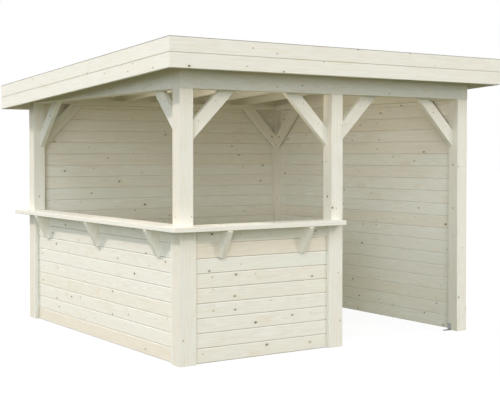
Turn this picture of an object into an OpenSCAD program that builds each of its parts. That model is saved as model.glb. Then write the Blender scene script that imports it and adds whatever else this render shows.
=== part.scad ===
// Timber bar gazebo: five posts under a ring of beams, a lean-to roof that falls to the
// back, boarded back and right walls, and half walls with a bar counter round the front
// left corner. The right half of the front is open as a doorway.
// Millimetres. +X is right, +Y is back, +Z is up. The origin is on the ground, under the
// middle of the roof.

/* [Frame] */
// Width over the posts, left to right
frame_w = 3080; // [2400:10:4200]
// Depth over the posts, front to back
frame_d = 3030; // [2400:10:4200]
// Side of the square posts, and thickness of the beams on them
post_s = 120; // [90:5:160]
// Height of the posts, which is the clear height under the beams
post_h = 2150; // [1900:10:2500]
// Height of the front beam
front_beam_h = 205; // [160:5:280]
// Height of the back beam at its outer face; the roof falls from the one to the other
back_beam_h = 42.5; // [30:0.5:150]
// Place of the middle post along the front, as its offset from the centre
middle_post_x = 0; // [-500:10:500]
// Chamfer along the edges of the planed timbers
arris = 4; // [1:0.5:6]

/* [Roof] */
// Overhang of the roof past the posts on all four sides, to the outside of the fascia
overhang = 210; // [120:5:400]
// Height of a rafter
rafter_h = 120; // [80:5:160]
// Thickness of a rafter
rafter_t = 45; // [30:1:70]
// Thickness of the rim boards that stiffen the side eaves
rim_t = 28; // [18:1:45]
// Thickness of the roof boards
deck_t = 18; // [15:1:28]
// Thickness of the roof covering
covering_t = 3; // [2:0.5:6]

/* [Fascia] */
// Height of one fascia board; there are two, one above the other
fascia_h = 117; // [90:1:160]
// Thickness of a fascia board
fascia_t = 20; // [16:1:32]
// How far the fascia stands above the roof covering
fascia_lip = 10; // [4:1:40]

/* [Walls] */
// Thickness of the wall boards
wall_t = 20; // [16:1:32]
// How far the boards lie back from the outer faces of the posts
wall_setback = 35; // [20:1:60]
// Width of the battens that hold the ends of the wall boards
batten_w = 28; // [18:1:45]

/* [Counter] */
// Height of the counter's top above the ground
counter_top_z = 1084; // [900:1:1200]
// Thickness of the counter
counter_t = 40; // [28:1:60]
// How far the counter stands out past the posts
counter_out = 100; // [60:5:180]
// How far the counter runs on behind the back left post
counter_tail = 135; // [20:5:180]
// How far the counter runs across the face of the middle post
counter_nose = 82; // [20:1:110]
// Height of a counter bracket
bracket_h = 222; // [120:1:320]
// Width of a counter bracket
bracket_w = 45; // [30:1:70]
// Gap from a bracket's nose to the counter's edge above it
bracket_in = 4; // [0:1:40]
// Distance of the end brackets from the posts beside them
bracket_inset = 280; // [150:5:500]

/* [Braces] */
// Length of a knee brace along the post and along the beam
brace_reach = 435; // [300:5:520]
// Width of a knee brace, square to its slope
brace_w = 108; // [60:1:130]
// Thickness of a knee brace
brace_t = 45; // [28:1:70]

/* [Anchors] */
// Length of each leg of a steel ground anchor
anchor_leg = 75; // [50:1:120]
// Height of the anchor's upright leg
anchor_h = 60; // [40:1:120]
// Width of an anchor
anchor_w = 40; // [30:1:60]
// Thickness of the anchor's steel
anchor_t = 3; // [2:0.5:6]
// Diameter of the anchor's hole for a ground bolt
ground_hole_d = 11; // [7:0.5:14]
// Distance of the ground hole from the end of the foot
ground_hole_in = 25; // [15:1:40]

/* [Hidden] */

roof_w = frame_w + 2 * overhang;
roof_d = frame_d + 2 * overhang;
roof_slope = (front_beam_h - back_beam_h) / frame_d;
slope_angle = atan(roof_slope);
// Heights above the rafters' seat, measured plumb
deck_top = rafter_h + deck_t;
fascia_top = deck_top + covering_t + fascia_lip;
// Inside faces of the fascias
eave_x = roof_w / 2 - fascia_t;
eave_y = roof_d / 2 - fascia_t;
counter_base_z = counter_top_z - counter_t;
// Left face of the middle post, from the front left corner
middle_post_u = frame_w / 2 + middle_post_x - post_s / 2;
// Rafters across the roof, with the two that stand over the side beams
rafter_count = 7;
// Small clearance between the knee braces and the plane of the posts' inner faces
brace_back = 5;
// Blunt ends of a counter bracket
bracket_nose = 12;
bracket_toe = 24;
// More than the length of any piece, for shapes that others cut to length
beyond = roof_w + roof_d;
left_x = -frame_w / 2;
right_x = frame_w / 2 - post_s;
front_y = -frame_d / 2;
back_y = frame_d / 2 - post_s;
timber = "#e4dfcd";
timber_pale = "#efeadb";

// Height of the rafters' seat, the sloping plane that caps the beams, at depth y
function seat_z(y) = post_h + front_beam_h - roof_slope * (y + frame_d / 2);

// Start and end of the bay that a wall fills, along its side of the frame
function bay(side) =
    side == "front" ? [post_s, middle_post_u] :
    side == "back" ? [post_s, frame_w - post_s] :
    [post_s, frame_d - post_s];

function wall_h(side) = side == "front" || side == "left" ? counter_base_z : post_h;

// Puts children on one side of the frame: x runs along that side, y goes inwards from the
// outer faces of the posts, and z stays up
module on_side(side) {
    half_w = frame_w / 2;
    half_d = frame_d / 2;
    if (side == "front") translate([-half_w, -half_d, 0]) children();
    if (side == "right") translate([half_w, -half_d, 0]) rotate([0, 0, 90]) children();
    if (side == "back") translate([half_w, half_d, 0]) rotate([0, 0, 180]) children();
    if (side == "left") translate([-half_w, half_d, 0]) rotate([0, 0, 270]) children();
}

// A prism along X whose outline lies in the YZ plane
module along_x(from_x, to_x) {
    translate([from_x, 0, 0]) rotate([90, 0, 90]) linear_extrude(to_x - from_x) children();
}

// A prism along Y whose outline lies in the XZ plane
module along_y(from_y, to_y) {
    translate([0, to_y, 0]) rotate([90, 0, 0]) linear_extrude(to_y - from_y) children();
}

// A planed timber that stands on the ground plane, with its four long edges chamfered
module planed(width, depth, length) {
    linear_extrude(length) polygon([
        [arris, 0], [width - arris, 0], [width, arris], [width, depth - arris],
        [width - arris, depth], [arris, depth], [0, depth - arris], [0, arris]
    ]);
}

// A slab parallel to the roof, from low to high above the rafters' seat
module roof_slab(half_x, half_y, low, high) {
    along_x(-half_x, half_x) polygon([
        [-half_y, seat_z(-half_y) + low], [half_y, seat_z(half_y) + low],
        [half_y, seat_z(half_y) + high], [-half_y, seat_z(-half_y) + high]
    ]);
}

module post(x, y) {
    color(timber) translate([x, y, 0]) planed(post_s, post_s, post_h);
}

// A beam's section: a level base with chamfered edges, and a top that may slope
module beam_section(from, to, from_top, to_top) {
    polygon([
        [from + arris, post_h], [to - arris, post_h], [to, post_h + arris], [to, to_top],
        [from, from_top], [from, post_h + arris]
    ]);
}

// The front or the back beam, planed on top to the roof's slope
module cross_beam(from_y) {
    to_y = from_y + post_s;
    color(timber) along_x(-frame_w / 2, frame_w / 2)
        beam_section(from_y, to_y, seat_z(from_y), seat_z(to_y));
}

// A side beam, a long wedge between the front and the back beam
module side_beam(from_x) {
    from_y = front_y + post_s;
    to_x = from_x + post_s;
    color(timber) intersection() {
        along_x(from_x, to_x) polygon([
            [from_y, post_h], [back_y, post_h], [back_y, seat_z(back_y)], [from_y, seat_z(from_y)]
        ]);
        along_y(from_y, back_y) beam_section(from_x, to_x, seat_z(from_y), seat_z(from_y));
    }
}

// A planed timber that lies on the rafters' seat, cut plumb behind the fascias
module sloping_timber(from_x, thickness) {
    height = rafter_h * cos(slope_angle);
    color(timber) intersection() {
        translate([from_x, -eave_y, 0]) cube([thickness, 2 * eave_y, beyond]);
        translate([from_x, 0, seat_z(0)]) rotate([-slope_angle, 0, 0])
            translate([0, -beyond / 2, height]) rotate([-90, 0, 0])
                planed(thickness, height, beyond);
    }
}

module rafter(index) {
    spacing = (frame_w - rafter_t) / (rafter_count - 1);
    sloping_timber(left_x + (index - 1) * spacing, rafter_t);
}

module rim_boards() {
    sloping_timber(-eave_x, rim_t);
    sloping_timber(eave_x - rim_t, rim_t);
}

module roof_boards() {
    color(timber_pale) roof_slab(eave_x, eave_y, rafter_h, deck_top);
}

// A tray of sheet that turns up inside the fascias and laps over their top edges
module roof_covering() {
    lap = 1; // overshoot of the cutting shapes
    color("#4a4b4d") difference() {
        roof_slab(roof_w / 2, roof_d / 2, deck_top, fascia_top + covering_t);
        roof_slab(eave_x - covering_t, eave_y - covering_t, deck_top + covering_t,
                  fascia_top + covering_t + lap);
        difference() {
            roof_slab(roof_w / 2 + lap, roof_d / 2 + lap, deck_top - lap, fascia_top);
            roof_slab(eave_x, eave_y, deck_top - 2 * lap, fascia_top + lap);
        }
    }
}

// Puts children at an edge of the roof: x runs along the edge, y points outwards from the
// back of the fascia, and z is up from the rafters' seat, square to the edge
module at_eave(side) {
    if (side == "front") translate([0, -eave_y, seat_z(-roof_d / 2)]) rotate([0, 0, 180]) children();
    if (side == "back") translate([0, eave_y, seat_z(roof_d / 2)]) children();
    if (side == "left") translate([-eave_x, 0, seat_z(0)]) rotate([-slope_angle, 0, 0])
        rotate([0, 0, 90]) children();
    if (side == "right") translate([eave_x, 0, seat_z(0)]) rotate([-slope_angle, 0, 0])
        rotate([0, 0, -90]) children();
}

// One fascia board, which the roof's slope cuts above and below. Its outer edges are
// chamfered, which leaves a groove between two rows, and its ends are mitred. Row 0 is the
// lower board
module fascia(side, row) {
    across = side == "front" || side == "back";
    reach = across ? roof_d / 2 : roof_w / 2;
    half = across ? roof_w / 2 : roof_d / 2;
    turn = side == "front" ? 0 : side == "right" ? 90 : side == "back" ? 180 : 270;
    low = fascia_top - (2 - row) * fascia_h;
    high = low + fascia_h;
    square = across ? 1 : cos(slope_angle); // turns a plumb height into one square to the edge
    color(timber_pale) intersection() {
        roof_slab(roof_w / 2, roof_d / 2, low, high);
        at_eave(side) along_x(-beyond / 2, beyond / 2) polygon([
            [0, low * square + arris - fascia_t], [fascia_t, low * square + arris],
            [fascia_t, high * square - arris], [0, high * square - arris + fascia_t]
        ]);
        rotate([0, 0, turn]) linear_extrude(beyond) polygon([
            [-half, -reach], [half, -reach],
            [half - fascia_t, fascia_t - reach], [fascia_t - half, fascia_t - reach]
        ]);
    }
}

// The boards of one wall, as one panel between two posts
module wall(side) {
    from_u = bay(side)[0];
    to_u = bay(side)[1];
    color(timber_pale) on_side(side) translate([from_u, wall_setback, 0])
        cube([to_u - from_u, wall_t, wall_h(side)]);
}

// The two upright battens at the ends of a wall, flush with the posts outside
module battens(side) {
    for (u = [bay(side)[0], bay(side)[1] - batten_w])
        color(timber) on_side(side) translate([u, 0, 0])
            planed(batten_w, wall_setback, wall_h(side));
}

// One knee brace from the post face at u, going the way that direction says. It is a planed
// timber at 45 degrees, cut flush with the post and with the underside of the beam
module brace(side, u, direction) {
    color(timber) on_side(side) translate([u, post_s - brace_back - brace_t, post_h])
        mirror([direction < 0 ? 1 : 0, 0, 0]) intersection() {
            translate([0, 0, -brace_reach]) cube([brace_reach, brace_t, brace_reach]);
            translate([0, 0, -brace_reach]) rotate([0, 45, 0])
                translate([-brace_w, 0, 0]) planed(brace_w, brace_t, brace_reach * sqrt(2));
        }
}

module braces_front_left() {
    brace("front", post_s, 1);
    brace("left", frame_d - post_s, -1);
}

module braces_front_middle() {
    brace("front", middle_post_u, -1);
    brace("front", middle_post_u + post_s, 1);
}

module braces_front_right() {
    brace("front", frame_w - post_s, -1);
    brace("right", post_s, 1);
}

module braces_back_left() {
    brace("back", frame_w - post_s, -1);
    brace("left", post_s, 1);
}

module braces_back_right() {
    brace("right", frame_d - post_s, -1);
    brace("back", post_s, 1);
}

// A counter cut to its plan, with the upper and lower edges of its long side chamfered
module counter(side) {
    color(timber_pale) on_side(side) translate([0, 0, counter_base_z]) intersection() {
        linear_extrude(counter_t) children();
        along_x(-beyond, beyond) polygon([
            [arris - counter_out, 0], [post_s, 0], [post_s, counter_t],
            [arris - counter_out, counter_t], [-counter_out, counter_t - arris], [-counter_out, arris]
        ]);
    }
}

// The front counter, mitred at the corner post and notched round both posts
module counter_front() {
    nose_u = middle_post_u + counter_nose;
    counter("front") polygon([
        [-counter_out, -counter_out], [nose_u - arris, -counter_out],
        [nose_u, arris - counter_out], [nose_u, 0], [middle_post_u, 0],
        [middle_post_u, post_s], [post_s, post_s], [post_s, 0], [0, 0]
    ]);
}

// The left counter, which meets the front one in the mitre and runs on past the back post
module counter_left() {
    counter("left") polygon([
        [-counter_tail, arris - counter_out], [arris - counter_tail, -counter_out],
        [frame_d + counter_out, -counter_out], [frame_d, 0], [frame_d - post_s, 0],
        [frame_d - post_s, post_s], [post_s, post_s], [post_s, 0], [-counter_tail, 0]
    ]);
}

// A wedge-shaped bracket that stands on the wall boards and carries the counter's edge
module bracket(side, u) {
    nose_v = bracket_in - counter_out;
    color(timber) on_side(side) translate([u, 0, counter_base_z])
        along_x(-bracket_w / 2, bracket_w / 2) polygon([
            [wall_setback, 0], [wall_setback, -bracket_h],
            [wall_setback - bracket_toe, -bracket_h], [nose_v, -bracket_nose], [nose_v, 0]
        ]);
}

module brackets_front() {
    for (u = [bay("front")[0] + bracket_inset, bay("front")[1] - bracket_inset])
        bracket("front", u);
}

module brackets_left() {
    for (u = [bay("left")[0] + bracket_inset, frame_d / 2, bay("left")[1] - bracket_inset])
        bracket("left", u);
}

// A bent steel angle: its upright stands against the plane x = 0 and its foot runs to +X
module anchor() {
    bend_r = 2 * anchor_t; // outside radius of the bend
    color("#9a9c9e") difference() {
        translate([0, anchor_w / 2, 0]) rotate([90, 0, 0]) linear_extrude(anchor_w) difference() {
            union() {
                translate([0, bend_r]) square([anchor_t, anchor_h - bend_r]);
                translate([bend_r, 0]) square([anchor_leg - bend_r, anchor_t]);
                intersection() {
                    translate([bend_r, bend_r]) circle(r = bend_r, $fn = 48);
                    square(bend_r);
                }
            }
            translate([bend_r, bend_r]) circle(r = bend_r - anchor_t, $fn = 48);
        }
        translate([anchor_leg - ground_hole_in, 0, -1])
            cylinder(d = ground_hole_d, h = anchor_t + 2, $fn = 48);
    }
}

// Both anchors stand by the doorway: behind the middle post and inside the right post
module anchors() {
    on_side("front") {
        translate([middle_post_u + post_s / 2, post_s, 0]) rotate([0, 0, 90]) anchor();
        translate([frame_w - post_s, post_s - anchor_w / 2, 0]) rotate([0, 0, 180]) anchor();
    }
}

post(left_x, front_y);  // post_front_left
post(left_x + middle_post_u, front_y);  // post_front_middle
post(right_x, front_y);  // post_front_right
post(left_x, back_y);  // post_back_left
post(right_x, back_y);  // post_back_right
cross_beam(front_y);  // beam_front
cross_beam(back_y);  // beam_back
side_beam(left_x);  // beam_left
side_beam(right_x);  // beam_right
rafter(1);  // rafter_1
rafter(2);  // rafter_2
rafter(3);  // rafter_3
rafter(4);  // rafter_4
rafter(5);  // rafter_5
rafter(6);  // rafter_6
rafter(7);  // rafter_7
rim_boards();
roof_boards();
roof_covering();
fascia("front", 0);  // fascia_front_lower
fascia("front", 1);  // fascia_front_upper
fascia("back", 0);  // fascia_back_lower
fascia("back", 1);  // fascia_back_upper
fascia("left", 0);  // fascia_left_lower
fascia("left", 1);  // fascia_left_upper
fascia("right", 0);  // fascia_right_lower
fascia("right", 1);  // fascia_right_upper
wall("front");  // wall_front
wall("left");  // wall_left
wall("back");  // wall_back
wall("right");  // wall_right
battens("front");  // battens_front
battens("left");  // battens_left
battens("back");  // battens_back
battens("right");  // battens_right
braces_front_left();
braces_front_middle();
braces_front_right();
braces_back_left();
braces_back_right();
counter_front();
counter_left();
brackets_front();
brackets_left();
anchors();
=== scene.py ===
"""Timber bar gazebo: the finish of every surface, and the boards, screws and felt that its frame carries.

Metres. +X is right, +Y is back, +Z is up, and the origin is on the ground under the middle of the roof.
"""
import math
import random

import bmesh
import bpy
from mathutils import Matrix, Vector


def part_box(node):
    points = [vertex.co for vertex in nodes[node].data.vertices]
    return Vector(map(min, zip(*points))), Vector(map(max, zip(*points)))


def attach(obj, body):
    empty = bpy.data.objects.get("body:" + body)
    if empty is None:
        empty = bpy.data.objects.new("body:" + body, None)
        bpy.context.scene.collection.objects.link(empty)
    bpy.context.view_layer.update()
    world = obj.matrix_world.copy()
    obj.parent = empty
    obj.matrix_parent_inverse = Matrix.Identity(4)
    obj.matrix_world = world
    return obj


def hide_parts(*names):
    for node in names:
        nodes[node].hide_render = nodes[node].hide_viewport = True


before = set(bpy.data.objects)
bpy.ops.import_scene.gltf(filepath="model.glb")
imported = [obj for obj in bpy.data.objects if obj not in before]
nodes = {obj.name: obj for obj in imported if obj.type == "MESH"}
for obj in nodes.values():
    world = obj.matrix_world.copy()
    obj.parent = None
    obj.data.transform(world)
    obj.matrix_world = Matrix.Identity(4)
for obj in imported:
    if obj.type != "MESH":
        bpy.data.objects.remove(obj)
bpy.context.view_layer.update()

# ---------------------------------------------------------------- sizes

BOARD_COVER = 0.1175       # height that one wall board covers
FIRST_JOINT = 0.116        # height of the lowest joint
BOARD_CHAMFER = 0.005      # chamfer along both edges of a board, on both faces
BOARD_GAP = 0.0008         # gap between the shoulders of two boards
TONGUE = 0.007             # how far the tongue stands out of the upper edge
TONGUE_HALF = 0.003        # half its thickness
BOARD_MIDDLE = 0.01        # deeper than this a board's inner face begins
ROOF_COVER = 0.105         # width that one roof board covers
KNOT_SPACE = 0.3           # a board has room for one knot in each such length
KNOTS_ON_BOARDS = 0.5      # share of those rooms that hold a knot
KNOTS_ON_TIMBERS = 0.6     # and the same for the faces of a post, a beam or another timber
FELT_STRIPS = 4            # strips of felt that cover the roof
FELT_LAP = 0.08            # how far one strip lies over the next
FELT_THICK = 0.0025
FELT_CLIMB = 0.06          # length over which a strip climbs onto the next
FELT_INSET = 0.025         # from the roof's outer edges to the felt's
FELT_SUNK = 0.0128         # from the top of the roof's edge down to the felt
BRACE_REACH = 0.435        # length of a brace along its post, and along its beam
BRACE_WIDTH = 0.108
BRACKETS_FRONT = (0.4, 1.2)            # middles of the brackets, from the corner where the side begins
BRACKETS_LEFT = (0.4, 1.515, 2.63)
COUNTER_SCREWS = (-0.045, 0.05)        # from the posts' outer faces, outwards and inwards
SCREW_RADIUS = 0.0044
NAIL_RADIUS = 0.0026
CLOUT_RADIUS = 0.005       # wide flat nail for felt
CLOUTS = 34                # clout nails along one lap
NAIL_FROM_END = 0.014      # nails in a board, from its end
NAIL_FROM_MIDDLE = 0.03    # and up and down from its middle
SIDES = ("front", "right", "back", "left")


def middle(box):
    return (box[0] + box[1]) / 2


# ---------------------------------------------------------------- shader maths


class Value:
    """A number, a colour or a vector inside a finish. Python's operators on it add Math nodes."""

    def __init__(self, finish, socket):
        self.finish = finish
        self.socket = socket

    def math(self, operation, *numbers):
        return self.finish.value("Math", {"operation": operation}, dict(enumerate((self, *numbers))))

    def __add__(self, other):
        return self.math("ADD", other)

    def __sub__(self, other):
        return self.math("SUBTRACT", other)

    def __mul__(self, other):
        return self.math("MULTIPLY", other)

    def __truediv__(self, other):
        return self.math("DIVIDE", other)

    def __gt__(self, other):
        return self.math("GREATER_THAN", other)

    def __lt__(self, other):
        return self.math("LESS_THAN", other)

    def __abs__(self):
        return self.math("ABSOLUTE")

    def __rsub__(self, other):
        return self.finish.value("Math", {"operation": "SUBTRACT"}, {0: other, 1: self})

    def __rtruediv__(self, other):
        return self.finish.value("Math", {"operation": "DIVIDE"}, {0: other, 1: self})

    __radd__ = __add__
    __rmul__ = __mul__

    def ease(self, start, end):
        """0 at start, 1 at end, smooth between; start may be the larger."""
        settings = {"interpolation_type": "SMOOTHSTEP"}
        return self.finish.value("MapRange", settings, {"Value": self, "From Min": start, "From Max": end})


class Finish:
    """A material or a world that is built up node by node."""

    def __init__(self, holder):
        holder.use_nodes = True
        self.holder = holder
        self.tree = holder.node_tree
        self.tree.nodes.clear()

    def add(self, kind, settings=(), inputs=()):
        """Adds one node, with its settings first and then the values or links of its sockets."""
        node = self.tree.nodes.new("ShaderNode" + kind)
        for key, setting in dict(settings).items():
            setattr(node, key, setting)
        for key, given in dict(inputs).items():
            if isinstance(given, Value):
                self.tree.links.new(given.socket, node.inputs[key])
            else:
                node.inputs[key].default_value = given
        return node

    def value(self, kind, settings=(), inputs=(), output=0):
        return Value(self, self.add(kind, settings, inputs).outputs[output])

    def split(self, vector):
        node = self.add("SeparateXYZ", (), {0: vector})
        return [Value(self, socket) for socket in node.outputs]

    def join(self, x, y, z=0.0):
        return self.value("CombineXYZ", (), {"X": x, "Y": y, "Z": z})

    def noise(self, x, y, z=0.0, detail=2.0):
        """Smooth noise from 0 to 1 whose features are about 1 unit long."""
        return self.value("TexNoise", (), {"Vector": self.join(x, y, z), "Scale": 1.0, "Detail": detail})

    def chances(self, number):
        """Three random numbers from 0 to 1 that belong to a number."""
        return self.split(self.value("TexWhiteNoise", {"noise_dimensions": "1D"}, {"W": number}, 1))

    def mix(self, factor, first, second, blend="MIX"):
        settings = {"data_type": "RGBA", "blend_type": blend}
        return self.value("Mix", settings, {0: factor, 6: first, 7: second}, 2)

    def surface(self, **sockets):
        """Ends a material in one Principled shader."""
        shader = self.value("BsdfPrincipled", (), {k.replace("_", " "): v for k, v in sockets.items()})
        self.add("OutputMaterial", (), {"Surface": shader})
        return self.holder


def new_finish(name):
    return Finish(bpy.data.materials.new(name))


def seen(red, green, blue):
    """A colour given as the eye sees it, 0 to 255, as the linear colour that a shader takes."""
    return tuple(((c / 255 + 0.055) / 1.055) ** 2.4 for c in (red, green, blue)) + (1.0,)


# ---------------------------------------------------------------- timber

CREAM = seen(238, 235, 222)
GREENISH = seen(234, 236, 222)
BEIGE = seen(231, 218, 191)
ROSE = seen(233, 217, 199)
LATE_WOOD = seen(205, 187, 155)
END_WOOD = seen(222, 206, 174)
KNOT_HALO = seen(212, 198, 158)
KNOT_HEART = seen(98, 92, 58)
KNOT_RIM = seen(56, 50, 32)
# Painted shade in the joints: on the boards' lower edges and on the chamfers between the fascia's rows
PAINTED_JOINT_SHADE = seen(148, 134, 106)
# Painted highlight along the upper edge of each board, where the chamfer faces up
PAINTED_EDGE_HIGHLIGHT = seen(252, 250, 243)
RING = 0.0042              # distance between two growth rings
KNOT_STEP = 0.42           # a post or a beam has room for one knot in each such length
KNOT_ROW = 0.12            # and in each such width
PLY = 0.03                 # thickness of a ply in a laminated post


class Grain:
    """Where a point lies in its own piece of timber: along the grain, across the face, into the piece."""

    def __init__(self, along, wide, deep, seed, tone, pith):
        self.along = along
        self.wide = wide
        self.deep = deep
        self.seed = seed
        self.tone = tone
        self.pith = pith
        self.knot = None
        # joint holds painted shade in the joints, edge a painted highlight on the boards' upper edges
        self.joint = 0.0
        self.edge = 0.0
        self.end = 0.0
        self.glue = 0.0


def knot_look(along, across, radius, shade):
    """How far a point lies in a knot and round it, from its distance along and across the grain."""
    far = (across * across * 1.4 + along * along).math("SQRT")
    there = radius > 0.0005
    stretched = (across * across + along * along * 0.2).math("SQRT")
    return {
        "core": far.ease(radius * 1.2, radius * 0.6) * there * (shade * 0.55 + 0.4),
        "rim": abs(far / radius - 0.9).ease(0.45, 0.1) * there * (shade * shade * 0.85),
        "halo": stretched.ease(radius * 2.4, radius * 0.4) * there * (shade * 0.25 + 0.12),
        "bend": stretched.ease(radius * 4, 0.0) * there * radius,
    }


def knots_of_piece(finish, grain, side):
    """Scatters knots over a face: a share of the cells of a loose lattice holds one."""
    column = (grain.along + side) / KNOT_STEP
    row = grain.wide / KNOT_ROW + side + grain.seed
    cell = finish.add("TexVoronoi", {"voronoi_dimensions": "2D"},
                      {"Vector": finish.join(column, row), "Scale": 1.0, "Randomness": 0.9})
    centre_x, centre_y, _ = finish.split(Value(finish, cell.outputs["Position"]))
    chance, size, shade = finish.split(Value(finish, cell.outputs["Color"]))
    radius = (0.004 + size * size * size * 0.006) * (chance < KNOTS_ON_TIMBERS)
    return knot_look((column - centre_x) * KNOT_STEP, (row - centre_y) * KNOT_ROW, radius, shade)


def grain_of_boards(finish):
    """Boards carry their coordinates, their random number, their tone and their knots with them.

    Along the lower edge of each board, where its chamfer faces down, painted shade stands for the shadow in
    the joint, less on the inner face.
    """
    along, wide, deep = finish.split(finish.value("Attribute", {"attribute_name": "place"}, (), "Vector"))
    number, tone, shade = finish.split(finish.value("Attribute", {"attribute_name": "board"}, (), "Vector"))
    knot_along, knot_across, radius = finish.split(
        finish.value("Attribute", {"attribute_name": "knot"}, (), "Vector"))
    pith_x, pith_y, _ = finish.chances(number * 91)
    grain = Grain(along, wide, deep, number * 37, tone, ((pith_x - 0.5) * 0.16, pith_y * 0.08 + 0.035))
    grain.knot = knot_look(along - knot_along, wide - knot_across, radius, shade)
    half = BOARD_COVER / 2
    # Painted shade along the board's lower edge, where the chamfer faces down, weaker on the inner face
    inner_face = (deep > BOARD_MIDDLE) * 0.6
    grain.joint = (0 - wide).ease(half - BOARD_CHAMFER * 1.8, half - BOARD_CHAMFER * 1.1) * (1 - inner_face)
    # Painted highlight along the board's upper edge, where the chamfer faces up
    grain.edge = wide.ease(half - BOARD_CHAMFER * 1.9, half - BOARD_CHAMFER * 1.3)
    return grain


def grain_of_node(finish, box, axis, luck):
    """Timber that runs along X, Y or Z through a box. Each of its faces has its own knots."""
    spot = finish.value("TexCoord", (), (), "Object")
    parts = finish.split(finish.value("VectorMath", {"operation": "SUBTRACT"}, {0: spot, 1: middle(box)}))
    facing = finish.split(finish.value("NewGeometry", (), (), "Normal"))
    run = "XYZ".index(axis)
    second, third = [i for i in range(3) if i != run]
    flat = abs(facing[second]) > abs(facing[third])
    wide = parts[second] + flat * (parts[third] - parts[second])
    side = facing[second].math("SIGN") * flat * 1.3 + facing[third].math("SIGN") * (1 - flat) * 2.9
    seed = luck.uniform(5, 60)
    pith = (luck.uniform(-0.08, 0.08), luck.uniform(0.04, 0.11))
    grain = Grain(parts[run], parts[second], parts[third], seed, luck.uniform(0.34, 0.6), pith)
    grain.knot = knots_of_piece(finish, Grain(parts[run], wide, 0, seed, 0, pith), side)
    grain.end = abs(facing[run]).ease(0.6, 0.7)
    return grain


def grain_of_fascia(finish, box, axis, luck, row):
    """A fascia board. The chamfers where its two rows meet carry painted shade."""
    grain = grain_of_node(finish, box, axis, luck)
    facing = finish.split(finish.value("NewGeometry", (), (), "Normal"))
    inwards = facing[2] * (1 if row == "lower" else -1)
    # Painted shade on the two chamfers that face into the groove between the rows
    grain.joint = inwards.ease(0.45, 0.6) * inwards.ease(0.95, 0.85) * 0.6
    return grain


def grain_of_post(finish, box, luck):
    """A laminated post: plies of 30 mm that each come from another board."""
    grain = grain_of_node(finish, box, "Z", luck)
    layer = (grain.wide / PLY).math("FLOOR")
    pith_x, pith_y, tone = finish.chances(layer + grain.seed)
    from_glue = abs((grain.wide / PLY).math("FRACT") - 0.5)
    grain.glue = from_glue.ease(0.47, 0.495)
    grain.wide = grain.wide - (layer + 0.5) * PLY
    grain.pith = ((pith_x - 0.5) * 0.14, pith_y * 0.1 + 0.04)
    grain.tone = tone * 0.36 + 0.26
    return grain


def grain_of_braces(finish, post_box, luck):
    """Braces that leave a post at 45 degrees, along X or along Y."""
    spot = finish.value("TexCoord", (), (), "Object")
    from_post = finish.value("VectorMath", {"operation": "SUBTRACT"}, {0: spot, 1: middle(post_box)})
    x, y, z = finish.split(from_post)
    reach = abs(x).math("MAXIMUM", abs(y))
    thin = abs(x).math("MINIMUM", abs(y))
    diagonal = math.sqrt(0.5)
    side = (x > 0.1) * 2.3 + (y > 0.1) * 4.1
    along = (reach + z) * diagonal + side
    wide = (reach - z) * diagonal + side * 0.02
    seed = luck.uniform(5, 60)
    grain = Grain(along, wide, thin, seed, luck.uniform(0.34, 0.6), (luck.uniform(-0.05, 0.05), 0.06))
    grain.knot = knots_of_piece(finish, grain, 0.0)
    return grain


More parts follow.
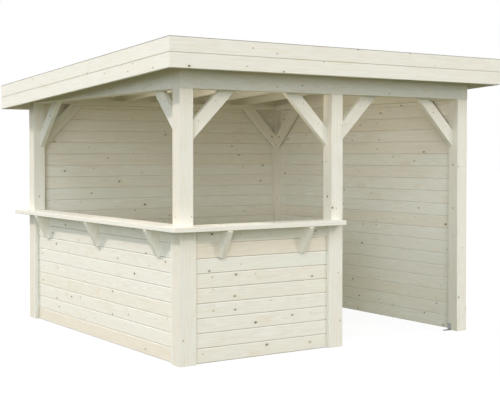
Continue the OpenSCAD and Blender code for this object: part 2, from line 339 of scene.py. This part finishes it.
def timber(name, make_grain):
    """Planed spruce with growth rings, flames, fibres and knots."""
    finish = new_finish(name)
    grain = make_grain(finish)
    along, wide, deep, knot = grain.along, grain.wide, grain.deep, grain.knot

    # Growth rings lie round a pith that wanders slowly along the trunk, and part round a knot
    wander = finish.noise(along * 0.9, grain.seed, 0.0) - 0.5
    sway = finish.noise(along * 2.6 + grain.seed, wide * 9, deep * 9) - 0.5
    from_x = wide + grain.pith[0] + wander * 0.09
    from_y = deep + grain.pith[1] + wander * 0.04
    radius = (from_x * from_x + from_y * from_y).math("SQRT") + sway * 0.007 + knot["bend"] * 1.6
    ring = (radius / RING).math("FRACT")
    late = ring.ease(0.15, 0.86) * ring.ease(1.0, 0.88)

    # Flames are beige streaks along the grain, blushes are wide rosy ones
    flame = finish.noise(along * 4.5 + grain.seed, radius * 75, grain.seed, 3.0).ease(0.5, 0.76)
    blush = finish.noise(along * 1.3 - grain.seed, wide * 26, grain.seed, 2.0).ease(0.46, 0.78)
    fibre = finish.noise(along * 9, wide * 900, deep * 900, 2.0)
    cloud = finish.noise(along * 7 + grain.seed, wide * 60, deep * 60, 3.0) - 0.5

    clamped = {"operation": "MULTIPLY_ADD", "use_clamp": True}
    warm = finish.value("Math", clamped, {0: grain.tone, 1: 2.0, 2: -1.0})
    green = finish.value("Math", clamped, {0: grain.tone, 1: -3.0, 2: 1.0})
    colour = finish.mix(warm * 0.62, CREAM, BEIGE)
    colour = finish.mix(green * 0.6, colour, GREENISH)
    colour = finish.mix(blush * (warm * 0.3 + 0.1), colour, ROSE)
    colour = finish.mix(flame * 0.48, colour, BEIGE)
    colour = finish.mix(late * 0.16, colour, LATE_WOOD)
    colour = finish.mix(grain.end * 0.08, colour, END_WOOD)
    colour = finish.mix(grain.end * late * 0.15, colour, LATE_WOOD)
    colour = finish.mix(knot["halo"], colour, KNOT_HALO)
    colour = finish.mix(knot["core"], colour, KNOT_HEART)
    colour = finish.mix(knot["rim"], colour, KNOT_RIM)
    # Painted shade in the joints, then a painted highlight along the boards' upper edges
    colour = finish.mix(grain.joint * 0.5, colour, PAINTED_JOINT_SHADE)
    colour = finish.mix(grain.edge * 0.3, colour, PAINTED_EDGE_HIGHLIGHT)
    colour = finish.mix(grain.glue * 0.22, colour, LATE_WOOD)
    light = 1 + cloud * 0.13 + (fibre - 0.5) * 0.1
    colour = finish.value("VectorMath", {"operation": "SCALE"}, {0: colour, "Scale": light})

    height = late * 0.35 + fibre * 0.5 - knot["rim"] * 0.4
    bump = finish.value("Bump", (), {"Strength": 0.35, "Distance": 0.0005, "Height": height})
    rough = 0.62 + fibre * 0.14 - knot["core"] * 0.15
    return finish.surface(Base_Color=colour, Roughness=rough, Normal=bump)


# ---------------------------------------------------------------- other finishes


def steel(name, colour, rough):
    """Bare or zinced steel, with a fine spangle and duller patches."""
    finish = new_finish(name)
    x, y, z = finish.split(finish.value("TexCoord", (), (), "Object"))
    spangle = finish.noise(x * 260, y * 260, z * 260, 3.0)
    dull = finish.noise(x * 30, y * 30, z * 30, 2.0).ease(0.4, 0.7)
    tint = finish.mix(spangle * 0.4, colour, seen(110, 108, 104))
    return finish.surface(Base_Color=tint, Metallic=0.85, Roughness=dull * 0.18 + rough)


def felt(name, dark, light, edge=5.0, cover=10.0):
    """Roofing sheet with fine slate granules, a little bleached in patches.

    Each strip of it is a little lighter or darker than the next, and tar shows along its edge.
    Without an edge and a cover of its own it is one sheet that is wider than the roof.
    """
    finish = new_finish(name)
    x, y, z = finish.split(finish.value("TexCoord", (), (), "Object"))
    laid = (edge - y) / cover
    strip = laid.math("FLOOR").math("MINIMUM", FELT_STRIPS - 1)
    shade, _, _ = finish.chances(strip + 3)
    from_edge = laid - strip + (finish.noise(x * 9, y * 9, z * 9, 2.0) - 0.5) * 0.008
    grit = finish.noise(x * 700, y * 700, z * 700, 2.0)
    patch = finish.noise(x * 2.4, y * 2.4, z * 2.4, 4.0)
    colour = finish.mix(grit.ease(0.35, 0.7), dark, light)
    colour = finish.mix(patch.ease(0.45, 0.75) * 0.35, colour, seen(86, 84, 78))
    colour = finish.mix(shade * 0.4, colour, light)
    colour = finish.mix(from_edge.ease(0.016, 0.008) * 0.8, colour, seen(34, 34, 35))
    bump = finish.value("Bump", (), {"Strength": 0.6, "Distance": 0.0008, "Height": grit})
    return finish.surface(Base_Color=colour, Roughness=0.93, Normal=bump)


# ---------------------------------------------------------------- making pieces


def side_frame(side):
    """The matrix of one side: X runs along it, Y goes inwards from the posts' outer faces."""
    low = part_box("post_front_left")[0]
    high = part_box("post_back_right")[1]
    quarter = SIDES.index(side)
    x = high.x if side in ("right", "back") else low.x
    y = high.y if side in ("back", "left") else low.y
    return Matrix.Translation((x, y, 0)) @ Matrix.Rotation(math.radians(90 * quarter), 4, "Z")


def box_on_side(side, node):
    """A CAD node's box, measured in the frame of one side."""
    corners = [side_frame(side).inverted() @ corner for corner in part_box(node)]
    low = Vector(map(min, *corners))
    high = Vector(map(max, *corners))
    return low, high


def finish_piece(name, mesh, slot, material, *stands_for):
    """Turns a bmesh into a piece of the object."""
    bmesh.ops.recalc_face_normals(mesh, faces=mesh.faces)
    data = bpy.data.meshes.new(name)
    mesh.to_mesh(data)
    mesh.free()
    piece = bpy.data.objects.new(name, data)
    bpy.context.scene.collection.objects.link(piece)
    data.materials.append(material)
    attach(piece, "root")
    if stands_for:
        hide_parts(*stands_for)
    return piece


def new_verts(made):
    return [v for v in made if isinstance(v, bmesh.types.BMVert)]


# ---------------------------------------------------------------- boards


def board_outline(bottom, top, thick):
    """A tongued and grooved board in section, as (across, into) points."""
    chamfer = BOARD_CHAMFER
    core = thick / 2
    return [
        (bottom + BOARD_GAP, chamfer), (bottom + chamfer, 0), (top - chamfer, 0), (top, chamfer),
        (top, core - TONGUE_HALF), (top + TONGUE, core - TONGUE_HALF),
        (top + TONGUE, core + TONGUE_HALF), (top, core + TONGUE_HALF),
        (top, thick - chamfer), (top - chamfer, thick), (bottom + chamfer, thick),
        (bottom + BOARD_GAP, thick - chamfer), (bottom + BOARD_GAP, core + TONGUE_HALF),
        (bottom + TONGUE + BOARD_GAP, core + TONGUE_HALF),
        (bottom + TONGUE + BOARD_GAP, core - TONGUE_HALF), (bottom + BOARD_GAP, core - TONGUE_HALF),
    ]


def plain_outline(bottom, top, thick):
    """The same board with its tongue and groove sawn off, for the first and the last one."""
    chamfer = BOARD_CHAMFER
    return [
        (bottom, chamfer), (bottom + chamfer, 0), (top - chamfer, 0), (top, chamfer),
        (top, thick - chamfer), (top - chamfer, thick), (bottom + chamfer, thick), (bottom, thick - chamfer),
    ]


def knots_of_board(start, end, cover, luck):
    """Knots scattered along a board: (along, across, radius, shade).

    Each gets its own length of the board, which ends halfway to the next.
    """
    knots = []
    count = max(1, round((end - start) / KNOT_SPACE))
    for i in range(count):
        along = start + (i + luck.uniform(0.2, 0.8)) * (end - start) / count
        across = luck.uniform(-0.42, 0.42) * cover
        radius = 0.0035 + 0.007 * luck.random() ** 2
        there = luck.random() < KNOTS_ON_BOARDS
        knots.append((along, across, radius if there else 0.0, luck.uniform(0.4, 1.0)))
    halfway = [(a[0] + b[0]) / 2 for a, b in zip(knots, knots[1:])]
    return [start, *halfway, end], knots


def add_board(mesh, outline, start, end, centre, cover, luck, tone):
    """Adds a board along X: Z is across it and Y goes into it. Its grain goes with it in layers."""
    place = mesh.verts.layers.float_vector.get("place") or mesh.verts.layers.float_vector.new("place")
    board = mesh.faces.layers.float_vector.get("board") or mesh.faces.layers.float_vector.new("board")
    knot = mesh.faces.layers.float_vector.get("knot") or mesh.faces.layers.float_vector.new("knot")
    number = luck.random()
    tone = luck.uniform(0.2, 0.66) if tone is None else tone
    stops, knots = knots_of_board(start, end, cover, luck)
    ring = [mesh.verts.new((start, into, across)) for across, into in outline]
    face = mesh.faces.new(ring)
    verts, faces = list(ring), [face]
    first = bmesh.ops.duplicate(mesh, geom=[face])["geom"]
    verts += new_verts(first)
    faces += [f for f in first if isinstance(f, bmesh.types.BMFace)]
    for i, (along, across, radius, shade) in enumerate(knots):
        grown = bmesh.ops.extrude_face_region(mesh, geom=[face])["geom"]
        bmesh.ops.translate(mesh, verts=new_verts(grown), vec=(stops[i + 1] - stops[i], 0, 0))
        verts += new_verts(grown)
        if face.is_valid:
            bmesh.ops.delete(mesh, geom=[face], context="FACES_ONLY")
        face = next(f for f in grown if isinstance(f, bmesh.types.BMFace))
        sides = {f for v in new_verts(grown) for f in v.link_faces}
        for f in sides:
            f[knot] = Vector((along, across, radius))
            f[board] = Vector((number, tone, shade))
    for f in faces:
        if f.is_valid:
            f[board] = Vector((number, tone, 0.5))
    for vert in verts:
        vert[place] = Vector((vert.co.x, vert.co.z - centre, vert.co.y))


def add_courses(mesh, start, end, low, high, first_joint, cover, thick, luck, tones=()):
    """Fills a height with boards that lie on each other, tongue in groove."""
    tones = dict(tones)
    joints = [first_joint + i * cover for i in range(math.ceil((high - first_joint) / cover))]
    edges = [low, *joints, high]
    for i, (bottom, top) in enumerate(zip(edges, edges[1:])):
        outermost = i in (0, len(edges) - 2)
        outline = (plain_outline if outermost else board_outline)(bottom, top, thick)
        centre = top - cover / 2 if i == 0 else bottom + cover / 2
        add_board(mesh, outline, start, end, centre, cover, luck, tones.get(i))
    bmesh.ops.remove_doubles(mesh, verts=mesh.verts, dist=0.00001)


def wall(side, material):
    """The boards of one wall, from post to post."""
    node = "wall_" + side
    low, high = box_on_side(side, node)
    mesh = bmesh.new()
    luck = random.Random(node)
    add_courses(mesh, low.x, high.x, low.z, high.z, FIRST_JOINT, BOARD_COVER, high.y - low.y, luck,
                TONES[side])
    bmesh.ops.translate(mesh, verts=mesh.verts, vec=(0, low.y, 0))
    bmesh.ops.transform(mesh, matrix=side_frame(side), verts=mesh.verts)
    return finish_piece("boards_" + side, mesh, "wall_boards", material, node)


def roof_deck(material):
    """Tongued and grooved boards that run across the rafters."""
    low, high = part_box("roof_boards")
    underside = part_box("rafter_1")[1].z
    thick = high.z - underside
    slope = (underside - low.z) / (high.y - low.y)
    mesh = bmesh.new()
    luck = random.Random("roof")
    add_courses(mesh, low.x, high.x, -high.y, -low.y, -high.y + ROOF_COVER * 0.8, ROOF_COVER, thick, luck)
    # The courses are laid down from upright, then tipped to the roof's fall
    bmesh.ops.transform(mesh, matrix=Matrix.Rotation(math.radians(90), 4, "X"), verts=mesh.verts)
    fall = Matrix(((1, 0, 0, 0), (0, 1, 0, 0), (0, -slope, 1, underside + slope * low.y), (0, 0, 0, 1)))
    bmesh.ops.transform(mesh, matrix=fall, verts=mesh.verts)
    return finish_piece("boards_roof", mesh, "roof_boards", material, "roof_boards")


# ---------------------------------------------------------------- felt, screws and nails


def roof_top(y, sunk):
    """Height of the roof's plane at a place from front to back, sunk below its very top."""
    low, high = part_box("roof_covering")
    front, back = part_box("fascia_front_upper")[1].z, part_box("fascia_back_upper")[1].z
    return high.z + (y - low.y) / (high.y - low.y) * (back - front) - sunk


def felt_width():
    """Width of a strip of felt, and where the lowest one ends at the back."""
    low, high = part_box("roof_covering")
    length = high.y - low.y - 2 * FELT_INSET
    return (length + (FELT_STRIPS - 1) * FELT_LAP) / FELT_STRIPS, high.y - FELT_INSET


def felt_strips(material):
    """Strips that run across the roof, each with its lower edge over the one before it."""
    low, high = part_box("roof_covering")
    luck = random.Random("felt")
    width, end = felt_width()
    mesh = bmesh.new()
    for i in range(FELT_STRIPS):
        back = end - i * (width - FELT_LAP)
        turn = luck.uniform(0, 9)
        made = bmesh.ops.create_grid(mesh, x_segments=40, y_segments=18, size=0.5)["verts"]
        for vert in made:
            x = vert.co.x * (high.x - low.x - 2 * FELT_INSET)
            y = back - (0.5 - vert.co.y) * width
            # The strip climbs over the one below it in its last centimetres
            climb = (FELT_LAP + FELT_CLIMB - (back - y)) / FELT_CLIMB if i else 0.0
            lift = min(max(climb, 0.0), 1.0) * FELT_THICK * 1.3
            wave = 0.0007 * math.sin(x * 5 + turn) * math.sin(y * 7 + turn) + 0.0008
            vert.co = Vector((x, y, roof_top(y, FELT_SUNK) + lift + wave))
    bmesh.ops.solidify(mesh, geom=mesh.faces[:], thickness=-FELT_THICK)
    return finish_piece("felt_strips", mesh, "roof_covering", material)


def aimed(point, direction):
    """The matrix that stands Z up along a direction, at a point."""
    return Matrix.Translation(point) @ Vector(direction).to_track_quat("Z", "Y").to_matrix().to_4x4()


def heads(name, slot, material, spots, radius, proud, recess=0.0, sides=10):
    """Heads of screws or nails that stand a hair proud of a face, at (point, direction)."""
    mesh = bmesh.new()
    for point, direction in spots:
        outwards = Vector(direction).normalized()
        root = 0.002
        centre = Vector(point) + outwards * (proud - root) / 2
        made = bmesh.ops.create_cone(
            mesh, cap_ends=True, segments=sides, radius1=radius, radius2=radius * 0.82,
            depth=proud + root, matrix=aimed(centre, direction))["verts"]
        if recess:
            caps = {f for v in made for f in v.link_faces if len(f.verts) == sides}
            cap = max(caps, key=lambda f: f.normal.dot(outwards) + f.calc_center_median().dot(outwards))
            bmesh.ops.inset_region(mesh, faces=[cap], thickness=radius * 0.32)
            bmesh.ops.translate(mesh, verts=cap.verts, vec=-outwards * recess)
    return finish_piece(name, mesh, slot, material)


def brace_screws():
    """One near each end of a brace, driven square to its outer face."""
    spots = []
    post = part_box("post_front_left")
    middle_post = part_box("post_front_middle")
    thick = post[1].x - post[0].x
    under_beam = post[1].z
    face = box_on_side("front", "braces_front_middle")[0].y
    inner = BRACE_WIDTH * 0.8
    outer = BRACE_REACH - BRACE_WIDTH * 1.75
    for i, side in enumerate(SIDES):
        frame_of_side = side_frame(side)
        length = (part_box("post_back_right")[1] - post[0])[i % 2]
        feet = [(thick, 1), (length - thick, -1)]
        if side == "front":
            feet += [(middle_post[0].x - post[0].x, -1), (middle_post[1].x - post[0].x, 1)]
        for start, way in feet:
            for along, down in ((inner, outer), (outer, inner)):
                point = Vector((start + way * along, face, under_beam - down))
                spots.append((frame_of_side @ point, frame_of_side.to_3x3() @ Vector((0, -1, 0))))
    return spots


def wall_nails():
    """Two nails at each end of each wall board, on its inner face."""
    spots = []
    for side in SIDES:
        low, high = box_on_side(side, "wall_" + side)
        place = side_frame(side)
        z = low.z + FIRST_JOINT
        while z < high.z - NAIL_FROM_MIDDLE:
            for x in (low.x + NAIL_FROM_END, high.x - NAIL_FROM_END):
                for rise in (-NAIL_FROM_MIDDLE, NAIL_FROM_MIDDLE):
                    point = place @ Vector((x, high.y, z - BOARD_COVER / 2 + rise))
                    spots.append((point, place.to_3x3() @ Vector((0, 1, 0))))
            z += BOARD_COVER
    return spots


def joint_nails():
    """Slim nails in the joints of the bar's front, in line with the bracket next to the middle post."""
    low, high = box_on_side("front", "wall_front")
    place = side_frame("front")
    under_bracket = high.z - 0.25
    sunk = 0.002
    below_joint = 0.003
    spots = []
    z = low.z + FIRST_JOINT
    while z < under_bracket:
        point = Vector((BRACKETS_FRONT[1], low.y + sunk, z - below_joint))
        spots.append((place @ point, Vector((0, -1, 0))))
        z += BOARD_COVER
    return spots


def counter_screws():
    """Pairs over each bracket, through the counter."""
    spots = []
    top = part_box("counter_front")[1].z
    for side, places in (("front", BRACKETS_FRONT), ("left", BRACKETS_LEFT)):
        place = side_frame(side)
        for x in places:
            for y in COUNTER_SCREWS:
                point = place @ Vector((x, y, top))
                spots.append((point, Vector((0, 0, 1))))
    return spots


def clout_nails(width, high_y):
    """Rows of wide flat nails along the laps of the felt, at places that vary a little."""
    low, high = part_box("roof_covering")
    luck = random.Random("clouts")
    from_lap = 0.022
    from_end = 0.06
    nearest_end = 0.04
    row = high.x - low.x - 2 * from_end
    spots = []
    for i in range(1, FELT_STRIPS):
        y = high_y - i * (width - FELT_LAP) - from_lap
        for k in range(CLOUTS):
            x = low.x + from_end + row * (k + luck.uniform(-0.1, 0.1)) / (CLOUTS - 1)
            x = min(max(x, low.x + nearest_end), high.x - nearest_end)
            spots.append((Vector((x, y, roof_top(y, FELT_SUNK) + FELT_THICK * 2.5)), Vector((0, 0, 1))))
    return spots


# ---------------------------------------------------------------- making

# Courses count from the ground. A tone over 0.66 is a warm board and one under 0.2 a greenish one.
TONES = {
    "front": {7: 0.84, 6: 0.12},
    "left": {0: 0.9, 3: 0.7},
    "right": {2: 0.64, 5: 0.28, 8: 0.76, 9: 0.25, 12: 0.62, 14: 0.64, 16: 0.68},
    "back": {1: 0.7, 4: 0.2, 6: 0.68, 10: 0.2, 13: 0.72, 15: 0.7},
}

board_finish = timber("board_timber", grain_of_boards)
for side in SIDES:
    wall(side, board_finish)
roof_deck(board_finish)


def dress(node, material):
    nodes[node].data.materials.clear()
    nodes[node].data.materials.append(material)


GRAINS = {
    "battens": "Z", "brackets": "Z",
    "beam_front": "X", "beam_back": "X", "beam_left": "Y", "beam_right": "Y",
    "rafter": "Y", "rim": "Y",
    "counter_front": "X", "counter_left": "Y",
}

for node in sorted(nodes):
    luck = random.Random(node)
    if node.startswith("braces"):
        post_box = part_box(node.replace("braces", "post"))
        dress(node, timber(node, lambda f: grain_of_braces(f, post_box, luck)))
    elif node.startswith("post"):
        dress(node, timber(node, lambda f: grain_of_post(f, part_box(node), luck)))
    elif node.startswith("fascia"):
        run = "X" if "front" in node or "back" in node else "Y"
        row = node.split("_")[-1]
        dress(node, timber(node, lambda f: grain_of_fascia(f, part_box(node), run, luck, row)))
    else:
        axis = next((a for start, a in GRAINS.items() if node.startswith(start)), None)
        if axis:
            dress(node, timber(node, lambda f: grain_of_node(f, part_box(node), axis, luck)))

zinc = steel("anchor_steel", seen(176, 178, 180), 0.38)
dull_steel = steel("screw_steel", seen(96, 88, 72), 0.45)
rusty_steel = steel("nail_steel", seen(120, 92, 60), 0.6)
dress("anchors", zinc)
dress("roof_covering", felt("roof_sheet", seen(140, 134, 120), seen(172, 166, 152)))
strip_width, strips_end = felt_width()
felt_strips(felt("roof_felt", seen(58, 59, 61), seen(116, 117, 118), strips_end, strip_width - FELT_LAP))

heads("brace_screws", "anchor_steel", dull_steel, brace_screws(), SCREW_RADIUS, 0.0008, 0.0006)
heads("counter_screws", "anchor_steel", dull_steel, counter_screws(), SCREW_RADIUS, 0.0008, 0.0006)
heads("wall_nails", "anchor_steel", zinc, wall_nails(), NAIL_RADIUS, 0.0006, sides=6)
heads("joint_nails", "anchor_steel", rusty_steel, joint_nails(), NAIL_RADIUS, 0.002, sides=8)
heads("felt_nails", "anchor_steel", zinc, clout_nails(strip_width, strips_end), CLOUT_RADIUS, 0.001, sides=8)

# ---------------------------------------------------------------- stage


def sun(name, azimuth, height, strength, colour, angle):
    """A distant light. Azimuth 0 is behind the object and 90 is to its right."""
    data = bpy.data.lights.new(name, "SUN")
    data.energy = strength
    data.color = colour
    data.angle = math.radians(angle)
    lamp = bpy.data.objects.new(name, data)
    lamp.rotation_euler = (math.radians(90 - height), 0.0, math.radians(180 - azimuth))
    bpy.context.scene.collection.objects.link(lamp)


def lamp_under_beam(name, strength, colour):
    """A soft lamp inside the left side, under its beam. It shines on the rafters from the left.

    It belongs to the lighting only, and the camera doesn't see it.
    """
    low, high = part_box("beam_left")
    into_room = 0.12
    to_front = 0.35
    below = 0.2
    backwards = Vector((-1.0, 0.0, -0.15))
    data = bpy.data.lights.new(name, "AREA")
    data.shape = "RECTANGLE"
    data.size = 1.9
    data.size_y = 0.3
    data.energy = strength
    data.color = colour
    data.spread = math.radians(95)
    lamp = bpy.data.objects.new(name, data)
    lamp.location = (high.x + into_room, -to_front, low.z - below)
    lamp.rotation_euler = backwards.to_track_quat("Z", "Y").to_euler()
    lamp.visible_camera = False
    bpy.context.scene.collection.objects.link(lamp)


def seen_directly(finish):
    """1 for the rays of the camera and those that metal and glass send on, 0 for the rest."""
    path = finish.add("LightPath")
    direct = Value(finish, path.outputs["Is Camera Ray"])
    for name in ("Is Glossy Ray", "Is Transmission Ray"):
        direct = direct.math("MAXIMUM", Value(finish, path.outputs[name]))
    return direct


def white_world():
    """Soft daylight from all round, in front of a white background."""
    world = bpy.data.worlds.new("studio")
    bpy.context.scene.world = world
    finish = Finish(world)
    sky = finish.value("Background", (), {"Color": (0.92, 0.96, 1.0, 1.0), "Strength": 0.84})
    paper = finish.value("Background", (), {"Color": (1.0, 1.0, 1.0, 1.0), "Strength": 1.0})
    shown = finish.value("MixShader", (), {0: seen_directly(finish), 1: sky, 2: paper})
    finish.add("OutputWorld", (), {"Surface": shown})


def white_floor():
    """A floor that looks white and keeps a faint shadow, but sends little warm light up."""
    mesh = bmesh.new()
    bmesh.ops.create_grid(mesh, x_segments=1, y_segments=1, size=60)
    data = bpy.data.meshes.new("floor")
    mesh.to_mesh(data)
    mesh.free()
    floor = bpy.data.objects.new("floor", data)
    bpy.context.scene.collection.objects.link(floor)
    floor.location.z = -0.001
    finish = new_finish("floor_white")
    paper = finish.value("Emission", (), {"Color": (1.0, 1.0, 1.0, 1.0), "Strength": 0.9})
    shade = finish.value("BsdfDiffuse", (), {"Color": (0.12, 0.12, 0.12, 1.0)})
    lit = finish.value("AddShader", (), {0: paper, 1: shade})
    glow = finish.value("Emission", (), {"Color": (0.97, 1.0, 0.42, 1.0), "Strength": 0.155})
    shown = finish.value("MixShader", (), {0: seen_directly(finish), 1: glow, 2: lit})
    finish.add("OutputMaterial", (), {"Surface": shown})
    data.materials.append(finish.holder)


white_world()
white_floor()
sun("light_back_left", 322, 34, 1.78, (1.0, 0.885, 0.825), 1.5)
sun("light_front", 149, 30, 0.8, (1.0, 0.87, 0.78), 6)
sun("light_low_corner", 220, 4, 1.0, (0.85, 0.9, 1.0), 28)
sun("light_high_corner", 220, 42, 0.83, (0.79, 0.87, 1.0), 28)
sun("light_low_left", 270, 4, 0.3, (0.45, 0.68, 1.0), 28)
lamp_under_beam("light_inside_left", 4.7, (1.0, 0.9, 0.83))

camera_data = bpy.data.cameras.new("camera")
camera_data.lens = 75.2
camera_data.sensor_width = 36.0
camera_data.shift_y = -0.0504
camera_data.clip_end = 200
camera = bpy.data.objects.new("camera", camera_data)
camera.location = (-5.556, -8.467, 1.642)
camera.rotation_euler = (math.radians(90 - 1.128), 0.0, math.radians(-33.85))
bpy.context.scene.collection.objects.link(camera)
bpy.context.scene.camera = camera
bpy.context.scene.view_settings.view_transform = "Standard"
